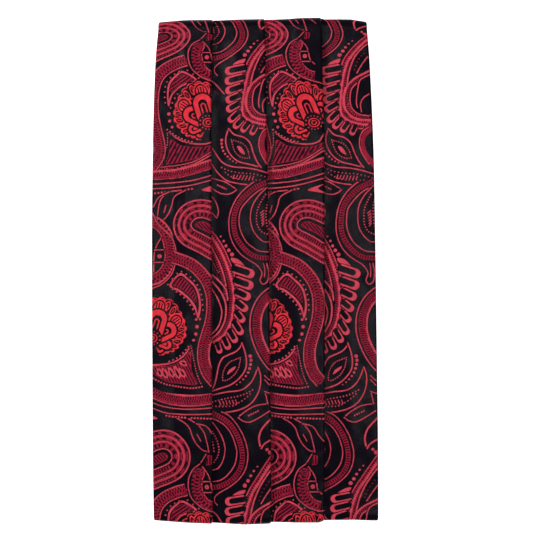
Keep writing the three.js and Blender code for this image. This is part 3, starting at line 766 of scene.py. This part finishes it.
def sash_path():
    """Stations from the inner wing's end to the outer's: y, z, outline share, chart row and part."""
    parts = []

    def add(y, z, at, row, part):
        y = np.asarray(y, float)
        parts.append(np.stack([y, z + 0 * y, at + 0 * y, row + 0 * y, part + 0 * y], axis=1))

    def fold(y, low, high, side, at, row, part):
        radius = (high - low) / 2
        turn = np.linspace(0, math.pi, 20)[1:-1]
        up = np.cos(turn) * side
        middle = radius + STACK / 2
        swept = (math.pi - turn if side < 0 else turn) * middle / SQUARE
        add(y + side * radius * np.sin(turn), low + radius * (1 + up), at, row - side * swept, part)
        return math.pi * middle / SQUARE

    def row_of(y):
        return MIDDLE["y"] - (y - FRONT_LENGTH / 2) / SQUARE

    low_end, high_end = LOWER_FOLD_RADIUS, TURNS_AT
    # The pattern goes on round the lower fold, by about the length of its turn
    low_turn = math.pi * LOWER_FOLD_RADIUS / 2 / SQUARE * 1.1
    y = np.linspace(INNER_END, low_end, int((INNER_END - low_end) / COARSE))
    at = -(y - low_end) / (INNER_END - low_end)
    row = row_of(low_end) + low_turn + (y - low_end) / SQUARE
    add(y, inner_wing_lift(y) + STACK, at, row, 0)
    low = inner_wing_lift(low_end) + STACK
    fold(low_end, low, front_base(low_end), -1, 0, row_of(low_end), 1)
    y = np.linspace(low_end, high_end, int((high_end - low_end) / FINE))
    places = low_end, 0.04 * FRONT_LENGTH, 0.93 * FRONT_LENGTH, high_end
    share = np.interp(y, places, (0, 0.04, 0.93, 1))
    add(y, front_base(y), share, row_of(y), 1)
    swept = fold(high_end, STACK, front_base(high_end), 1, 1, row_of(high_end), 1)
    y = np.linspace(high_end, OUTER_END, int((high_end - OUTER_END) / COARSE))
    row = row_of(high_end) - swept - (high_end - y) / SQUARE
    add(y, STACK, 1 + (high_end - y) / (high_end - OUTER_END), row, 2)
    path = np.vstack(parts)
    forward = np.gradient(path[:, :2], axis=0)
    out = np.stack([-forward[:, 1], forward[:, 0]], axis=1)
    return path, out / np.linalg.norm(out, axis=1)[:, None]


def edge_lines(path):
    """Where each pleat starts and ends across the sash, for every station."""
    at = path[:, 2]
    left = -WIDTH / 2 * outline_at(at, 1)
    right = WIDTH / 2 * outline_at(at, 2)
    lines = [lerp(left, right, share) for share in EDGES]
    along = np.clip(at, 0, 1)
    fade = np.clip(1 - np.abs(at - along) * 3, 0, 1)
    for edge, (upper, middle, lower) in EDGE_PULLS.items():
        lines[edge] = lines[edge] + fade * np.interp(along, (0, 0.5, 1), (lower, middle, upper))
    return lines, (right - left) / WIDTH


def pleat_section(index, lines, scale):
    """The middle line of one pleat at every station: x and height, and which columns show."""
    start, end = lines[index], lines[index + 1]
    first, last = index == 0, index == len(PLEATS) - 1
    low, high = (1 if first else 0), (1 if last else 2)
    layer = [CLOTH / 2 + n * PITCH for n in range(3)]
    inset = BEND + CLOTH / 2
    columns = []

    def add(x, height, shown=0):
        columns.append((x, height + 0 * x, shown))

    def turn(x, level, way):
        for angle in np.linspace(0, math.pi, 9):
            add(x + way * BEND * math.sin(angle), layer[level] - way * BEND * (1 - math.cos(angle)), 2)

    rise_from = start + HEM * scale if first else start
    rise_to = end - UNDERLAP * scale
    if first:
        for share in (0, 0.35, 0.7):
            add(lerp(start + HEM * scale, start + inset, share), layer[0])
        turn(start + inset, 0, -1)
        face_from = start + inset + 0.3
    else:
        for share in (0, 0.3, 0.6):
            add(lerp(start - UNDERLAP * scale, start - 1.5, share), layer[0])
        face_from = start - 1.5
    for i in range(FACE_COLUMNS):
        x = lerp(face_from, end - inset - 0.3, i / (FACE_COLUMNS - 1))
        rise = ease((x - rise_from) / (rise_to - rise_from), 0, 1)
        add(x, lerp(layer[low], layer[high], rise), 1)
    edge_column = len(columns) - 1
    turn(end - inset, high, 1)
    back = HEM if last else UNDERLAP
    for share in (0.3, 0.65, 1):
        add(lerp(end - inset, end - back * scale, share), layer[high - 1])
    x = np.stack([c[0] for c in columns], axis=1)
    height = np.stack([c[1] for c in columns], axis=1)
    return x, height, np.array([c[2] for c in columns]), edge_column


def ripples(x, y):
    """Soft, shallow unevenness of the whole stack."""
    total = 0
    for size, depth, heading, phase in WAVES:
        along = x * math.cos(heading) + y * math.sin(heading)
        total = total + depth * np.sin(2 * math.pi * along / size + phase)
    return total


def fold_fill(height, shown, edge_column):
    """How far the cross folds push each part of a pleat out, so that thin and thick parts line up."""
    top = CLOTH / 2 + 2 * PITCH
    face = np.flatnonzero(shown == 1)
    fill = FOLD_FILL * (top - height)
    from_edge = np.arange(len(face)) / len(face)
    if not shown[:face[0]].max():
        fill[:, face] *= ease(from_edge, 0.0, 0.05)
        fill[:, :face[0]] = 0
    else:
        fill[:, :face[0]] = fill[:, face[:1]]
    fill[:, edge_column + 1:] = fill[:, edge_column, None]
    return fill


def stray(x, y, table, edge):
    near = 1 - ease(np.abs(y - edge), 0, STRAY_REACH)
    return np.interp(x, table["x"], table["y"]) * near


def mesh_object(name, points, faces):
    mesh = bpy.data.meshes.new(name)
    mesh.from_pydata(points.tolist(), [], faces)
    mesh.update()
    mesh.polygons.foreach_set("use_smooth", [True] * len(mesh.polygons))
    made = bpy.data.objects.new(name, mesh)
    bpy.context.scene.collection.objects.link(made)
    return made


def store(mesh, name, values, kind="FLOAT"):
    layer = mesh.attributes.new(name, kind, "POINT")
    values = np.ascontiguousarray(values, np.float32).ravel()
    layer.data.foreach_set("value" if kind == "FLOAT" else "vector", values)


def squares(index, path, x, along, edge_column):
    """Chart places of every point of a pleat's middle surface."""
    weave = WEAVES[index]
    ends = [np.argmax(path[:, 4] == 1), len(path) - 1 - np.argmax(path[::-1, 4] == 1)]
    u = MIDDLE["x"] + (x[:, edge_column, None] + along - along[:, edge_column, None]) / SQUARE
    u[: ends[0]] = u[ends[0]]
    u[ends[1] + 1:] = u[ends[1]]
    row = path[:, 3, None] + 0 * x
    u = u - weave["first"] - np.interp(row, weave["shift"]["row"], weave["shift"]["by"])
    above = np.clip(DRAWN_IN["from_row"] - row, 0, DRAWN_IN["rows"])
    return u, row - DRAWN_IN["by"] * (above / DRAWN_IN["scale"]) ** 2


def pleat(index, charts, path, out):
    """One pleat as a closed mesh, with its size laid flat and its area in metres."""
    lines, scale = edge_lines(path)
    x, height, shown, edge_column = pleat_section(index, lines, scale)
    step = np.gradient(x, axis=1), np.gradient(height, axis=1)
    length = np.hypot(*step)
    normal = -step[1] / length, step[0] / length
    across = np.hypot(np.diff(x, axis=1), np.diff(height, axis=1))
    along = np.concatenate([np.zeros((len(x), 1)), np.cumsum(across, axis=1)], axis=1)
    u, row = squares(index, path, x, along, edge_column)
    # Round the section: every column of the upper side, and back over a few of the lower side
    coarse = [c for c in range(x.shape[1]) if shown[c] == 0 or c % (2 if shown[c] == 2 else 6) == 0]
    order = list(range(x.shape[1])) + coarse[::-1]
    side = np.array([1] * x.shape[1] + [-1] * len(coarse)) * WALL / 2
    px = x[:, order] + normal[0][:, order] * side
    ph = height[:, order] + normal[1][:, order] * side
    level = fold_fill(height, shown, edge_column)[:, order]
    y = path[:, 0, None] + (ph + level) * out[:, 0, None]
    z = path[:, 1, None] + ph * out[:, 1, None]
    front = np.where(path[:, 4] == 1, 1.0, 0.0)[:, None]
    front = front * ease(y, 2, 14) * (1 - ease(y, TURNS_AT - 12, TURNS_AT))
    z = z + front * ripples(px, y)
    y = y + stray(px, y, UPPER_STRAY, FRONT_LENGTH) + stray(px, y, LOWER_STRAY, 0)
    rows, ring = px.shape
    points = np.stack([px, y - FRONT_LENGTH / 2, z], axis=-1).reshape(-1, 3) * MM
    r, c = np.meshgrid(np.arange(rows - 1), np.arange(ring), indexing="ij")
    n = (c + 1) % ring
    corners = [r * ring + c, (r + 1) * ring + c, (r + 1) * ring + n, r * ring + n]
    quads = np.stack(corners, axis=-1).reshape(-1, 4)
    faces = quads.tolist()
    # Close both ends as strips between the two sides of the cloth
    for base, way in ((0, 1), ((rows - 1) * ring, -1)):
        for k in range(len(coarse) - 1):
            a, b = coarse[k], coarse[k + 1]
            loop = [base + v for v in range(a, b + 1)] + [base + ring - 2 - k, base + ring - 1 - k]
            faces.append(loop[::way])
    made = mesh_object(PLEATS[index], points, faces)
    mesh = made.data
    depth, tone, seeds, beat = sample(charts[WEAVES[index]["chart"]], u, row)
    store(mesh, "figure", np.clip(depth, -3, 3)[:, order])
    store(mesh, "tone", tone[:, order])
    store(mesh, "seeds", seeds[:, order])
    store(mesh, "beat", beat[:, order])
    weave_place = np.stack([u[:, order] * SQUARE, row[:, order] * SQUARE, 0 * px], axis=-1)
    store(mesh, "weave", weave_place, "FLOAT_VECTOR")
    # Bake layout: the front in one long row, both wings in a second one at half size
    section = px[rows // 2], ph[rows // 2]
    sides = np.hypot(*(np.diff(values, append=values[:1]) for values in section))
    around = np.concatenate([[0], np.cumsum(sides)])
    steps = np.hypot(np.diff(y.mean(1)), np.diff(z.mean(1)))
    travel = np.concatenate([[0], np.cumsum(steps)])
    part = path[:, 4]
    first, last = np.argmax(part == 1), rows - 1 - np.argmax(part[::-1] == 1)
    spans = [(0, first, 0.01, 0.5, 0.7), (first, last, 0.01, 1, 0.02), (last, rows - 1, 0.55, 0.5, 0.7)]
    room = 0.98 / (travel[last] - travel[first])
    uv = np.zeros((len(quads), 4, 2), np.float32)
    fr, fc = r.ravel(), c.ravel()
    for a, b, left, size, bottom in spans:
        mine = (fr >= a) & (fr < b)
        for corner, (dr, dc) in enumerate(((0, 0), (1, 0), (1, 1), (0, 1))):
            uv[mine, corner, 0] = left + (travel[fr[mine] + dr] - travel[a]) * room * size
            uv[mine, corner, 1] = bottom + around[fc[mine] + dc] * room * size
    layout = mesh.uv_layers.new(name="OFBake")
    loops = np.zeros((len(mesh.loops), 2), np.float32)
    loops[: len(quads) * 4] = uv.reshape(-1, 2)
    layout.data.foreach_set("uv", loops.ravel())
    made.data.materials.append(jacquard)
    flat_width = along[:, -1]
    area = float(np.sum((flat_width[1:] + flat_width[:-1]) / 2 * steps)) * MM * MM
    flat = (float(flat_width.max()) * MM, float(steps.sum()) * MM)
    return made, flat, min(area, flat[0] * flat[1])


def new_material(name):
    material = bpy.data.materials.new(name)
    material.use_nodes = True
    tree = material.node_tree
    return material, tree.nodes, tree.links, tree.nodes["Principled BSDF"]


def math_node(nodes, links, operation, a, b):
    node = nodes.new("ShaderNodeMath")
    node.operation = operation
    for socket, value in zip(node.inputs, (a, b)):
        if isinstance(value, (int, float)):
            socket.default_value = value
        else:
            links.new(value, socket)
    return node.outputs[0]


def mix(nodes, links, factor, a, b):
    node = nodes.new("ShaderNodeMix")
    node.data_type = "RGBA"
    links.new(factor, node.inputs[0])
    for socket, value in ((node.inputs[6], a), (node.inputs[7], b)):
        if isinstance(value, tuple):
            socket.default_value = (*value, 1)
        else:
            links.new(value, socket)
    return node.outputs[2]


def ramp(nodes, links, value, low, high, to_low=0.0, to_high=1.0):
    node = nodes.new("ShaderNodeMapRange")
    node.interpolation_type = "SMOOTHSTEP"
    links.new(value, node.inputs["Value"])
    node.inputs["From Min"].default_value = low
    node.inputs["From Max"].default_value = high
    node.inputs["To Min"].default_value = to_low
    node.inputs["To Max"].default_value = to_high
    return node.outputs[0]


def jacquard_material():
    material, nodes, links, shader = new_material("jacquard")

    def attribute(name):
        node = nodes.new("ShaderNodeAttribute")
        node.attribute_name = name
        return node

    place = attribute("weave").outputs["Vector"]
    grain = nodes.new("ShaderNodeTexNoise")
    grain.inputs["Scale"].default_value = 2.2
    grain.inputs["Detail"].default_value = 2
    links.new(place, grain.inputs["Vector"])
    jitter = math_node(nodes, links, "SUBTRACT", grain.outputs[0], 0.5)
    jitter = math_node(nodes, links, "MULTIPLY", jitter, 0.9)
    figure = math_node(nodes, links, "ADD", attribute("figure").outputs["Fac"], jitter)
    mask = ramp(nodes, links, figure, -0.12, 0.16)
    tone = attribute("tone").outputs["Fac"]
    threads = nodes.new("ShaderNodeTexWave")
    threads.bands_direction = "DIAGONAL"
    threads.inputs["Scale"].default_value = 1.1
    threads.inputs["Distortion"].default_value = 1.5
    links.new(place, threads.inputs["Vector"])
    patches = nodes.new("ShaderNodeTexNoise")
    patches.inputs["Scale"].default_value = 0.35
    links.new(place, patches.inputs["Vector"])
    ink = mix(nodes, links, ramp(nodes, links, tone, 0.1, 0.4), STRIPE_RED, LINE_RED)
    ink = mix(nodes, links, ramp(nodes, links, tone, 0.6, 0.9), ink, PETAL_RED)
    beat, seeds = (attribute(name).outputs["Fac"] for name in ("beat", "seeds"))
    steps = math_node(nodes, links, "MULTIPLY", beat, 2 * math.pi / SEED_PITCH)
    steps = math_node(nodes, links, "COSINE", steps, 0)
    steps = math_node(nodes, links, "MULTIPLY", ramp(nodes, links, steps, -0.7, 0.7), seeds)
    ink = mix(nodes, links, ramp(nodes, links, steps, 0.2, 0.42), ink, SEED_PURPLE)
    shade = ramp(nodes, links, threads.outputs[0], 0, 1, 0.62, 1.0)
    patchy = ramp(nodes, links, patches.outputs[0], 0.3, 0.7, 0.82, 1.08)
    shade = math_node(nodes, links, "MULTIPLY", shade, patchy)
    darker = nodes.new("ShaderNodeVectorMath")
    darker.operation = "SCALE"
    links.new(ink, darker.inputs[0])
    links.new(shade, darker.inputs["Scale"])
    ground = ramp(nodes, links, grain.outputs[0], 0.35, 0.75)
    ground = mix(nodes, links, ground, GROUND_DARK, GROUND_LIGHT)
    links.new(mix(nodes, links, mask, ground, darker.outputs[0]), shader.inputs["Base Color"])
    links.new(ramp(nodes, links, mask, 0, 1, 0.25, 0.45), shader.inputs["Roughness"])
    shader.inputs["Specular IOR Level"].default_value = 0.035
    bump = nodes.new("ShaderNodeBump")
    bump.inputs["Strength"].default_value = 0.35
    bump.inputs["Distance"].default_value = 0.00012
    relief = math_node(nodes, links, "MULTIPLY", threads.outputs[0], 0.5)
    relief = math_node(nodes, links, "ADD", mask, relief)
    links.new(relief, bump.inputs["Height"])
    links.new(bump.outputs[0], shader.inputs["Normal"])
    return material


def cloth_material(name, colour, roughness, ribs, rib_depth, direction="Y"):
    """Plain black cloth whose ribs run across the given direction."""
    material, nodes, links, shader = new_material(name)
    place = nodes.new("ShaderNodeTexCoord")
    rib = nodes.new("ShaderNodeTexWave")
    rib.bands_direction = direction
    rib.inputs["Scale"].default_value = ribs
    links.new(place.outputs["Object"], rib.inputs["Vector"])
    grain = nodes.new("ShaderNodeTexNoise")
    grain.inputs["Scale"].default_value = 900
    links.new(place.outputs["Object"], grain.inputs["Vector"])
    light = tuple(1.7 * c for c in colour)
    links.new(mix(nodes, links, rib.outputs[0], colour, light), shader.inputs["Base Color"])
    shader.inputs["Roughness"].default_value = roughness
    bump = nodes.new("ShaderNodeBump")
    bump.inputs["Distance"].default_value = rib_depth
    relief = math_node(nodes, links, "MULTIPLY", grain.outputs[0], 0.6)
    relief = math_node(nodes, links, "ADD", rib.outputs[0], relief)
    links.new(relief, bump.inputs["Height"])
    links.new(bump.outputs[0], shader.inputs["Normal"])
    return material


def steel_material():
    material, nodes, links, shader = new_material("steel")
    place = nodes.new("ShaderNodeTexCoord")
    stretch = nodes.new("ShaderNodeMapping")
    stretch.inputs["Scale"].default_value = (40, 2500, 2500)
    links.new(place.outputs["Object"], stretch.inputs["Vector"])
    grain = nodes.new("ShaderNodeTexNoise")
    grain.inputs["Scale"].default_value = 1
    links.new(stretch.outputs[0], grain.inputs["Vector"])
    colour = mix(nodes, links, grain.outputs[0], (0.42, 0.42, 0.44), (0.66, 0.66, 0.68))
    links.new(colour, shader.inputs["Base Color"])
    shader.inputs["Metallic"].default_value = 1
    links.new(ramp(nodes, links, grain.outputs[0], 0.2, 0.8, 0.24, 0.42), shader.inputs["Roughness"])
    return material


def loft_bar(name, rings, material):
    """A closed bar through rings of points, each a list of (x, y, z) in millimetres."""
    rows, ring = len(rings), len(rings[0])
    points = np.array(rings, float).reshape(-1, 3) - (0, FRONT_LENGTH / 2, 0)
    faces = []
    for r in range(rows - 1):
        for c in range(ring):
            n = (c + 1) % ring
            faces.append([r * ring + c, r * ring + n, (r + 1) * ring + n, (r + 1) * ring + c])
    faces.append(list(range(ring))[::-1])
    faces.append([(rows - 1) * ring + c for c in range(ring)])
    made = mesh_object(name, points * MM, faces)
    made.data.materials.append(material)
    return made


def gathered_tab(name, end, way, bottom, wing_share):
    """The wing's end, gathered from its full width into the strap's width."""
    near = end + way * SEAM_GAP
    wide = WIDTH * wing_share
    rings = []
    for share in np.linspace(0, 1, 25):
        width = np.interp(share, (0, 0.4, 1), (wide, wide * 0.94, STRAP_WIDTH)) - 0.6
        top = bottom + np.interp(share, (0, 0.4, 1), (STACK, STACK * 0.9, STRAP_THICK)) - 0.15
        across = np.linspace(-1, 1, 73)
        ridge = (0.5 - 0.5 * np.cos(math.pi * GATHERS * (across + 1))) * (0.30 + 0.4 * (1 - share))
        thick = top - bottom
        y = near + way * TAB_LENGTH * share
        low = [(width / 2 * a, y, bottom + 0.05) for a in np.linspace(-1, 1, 15)]
        high = [
            (width / 2 * a, y, top - thick * 0.55 * rise * (1 - 0.5 * share) - 0.35 * thick * a**8)
            for a, rise in zip(across[::-1], ridge[::-1])
        ]
        rings.append(low + high)
    return loft_bar(name, rings if way > 0 else rings[::-1], satin)


def strap_ring(y, bottom, half, edge=0.22, thick=STRAP_THICK):
    outline = [
        (-half + edge, 0), (half - edge, 0), (half, edge), (half, thick - edge),
        (half - edge, thick), (-half + edge, thick), (-half, thick - edge), (-half, edge),
    ]
    return [(x, y, bottom + z) for x, z in outline]


def long_strap():
    in_clamp = HOOK_PLATE + SEAM_GAP
    mouth = HOOK_BACK + CLAMP_LENGTH
    stations = np.linspace(STRAP_START, HOOK_BACK + SEAM_GAP, 120)
    places = (HOOK_BACK, mouth, mouth + CLAMP_LENGTH, mouth + 4 * CLAMP_LENGTH, STRAP_START)
    heights = (in_clamp, in_clamp, in_clamp * 0.6, 0, 0)
    rings = []
    for y in stations:
        half = STRAP_WIDTH / 2 - 0.05 - 0.06 * math.sin(2.4 * y)  # slightly wavy edges
        rings.append(strap_ring(y, np.interp(y, places, heights) + 0.03, half))
    return loft_bar("long_strap", rings[::-1], webbing)


def add_light(name, place, size, power):
    """A round lamp that points at the part."""
    lamp = bpy.data.lights.new(name, "AREA")
    lamp.shape = "DISK"
    lamp.size = size
    lamp.energy = power
    made = bpy.data.objects.new(name, lamp)
    made.location = place
    made.rotation_euler = (-Vector(place)).to_track_quat("-Z", "Y").to_euler()
    bpy.context.scene.collection.objects.link(made)


def build_stage():
    bpy.ops.mesh.primitive_plane_add(size=6, location=(0, 0, -0.0003))
    floor = bpy.context.object
    floor.name = "floor"
    material, _, _, shader = new_material("pale_floor")
    shader.inputs["Base Color"].default_value = (0.9, 0.9, 0.9, 1)
    shader.inputs["Roughness"].default_value = 0.9
    shader.inputs["Specular IOR Level"].default_value = 0
    shader.inputs["Emission Color"].default_value = (1, 1, 1, 1)
    shader.inputs["Emission Strength"].default_value = 1
    floor.data.materials.append(material)
    for light in LIGHTS:
        add_light(*light)
    world = bpy.data.worlds.new("studio")
    world.use_nodes = True
    background = world.node_tree.nodes["Background"]
    background.inputs["Color"].default_value = (1, 1, 1, 1)
    background.inputs["Strength"].default_value = WORLD_LIGHT
    bpy.context.scene.world = world
    bpy.context.scene.view_settings.view_transform = "Standard"


def build_camera():
    camera = bpy.data.cameras.new("camera")
    camera.angle = 2 * math.atan(FIELD / 2 / (CAMERA[2] - FRONT_HEIGHT))
    made = bpy.data.objects.new("camera", camera)
    made.location = CAMERA
    bpy.context.scene.collection.objects.link(made)
    bpy.context.scene.camera = made


jacquard = jacquard_material()
satin = cloth_material("satin", SATIN, 0.32, 60, 0.00004, "X")
webbing = cloth_material("webbing", WEBBING, 0.75, 260, 0.0002)
steel = steel_material()

charts = [strip_a(), strip_b()]
path, out = sash_path()
for index, name in enumerate(PLEATS):
    piece, flat, area = pleat(index, charts, path, out)
    piece.name = name + "_cloth"
    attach(piece, "root")
    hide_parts(name)

outer_tab = gathered_tab("outer_gathered_end", OUTER_END, -1, 0, 0.4)
inner_tab = gathered_tab("inner_gathered_end", INNER_END, 1, inner_wing_lift(INNER_END), 0.4)
for piece, node in ((outer_tab, "outer_end_tab"), (inner_tab, "inner_end_tab")):
    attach(piece, "root")
    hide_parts(node)

strap = long_strap()
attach(strap, "root")
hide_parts("long_strap")

for node, material in (("short_strap", webbing), ("hook", steel)):
    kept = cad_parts[node]
    kept.data.materials.clear()
    kept.data.materials.append(material)

build_stage()
build_camera()
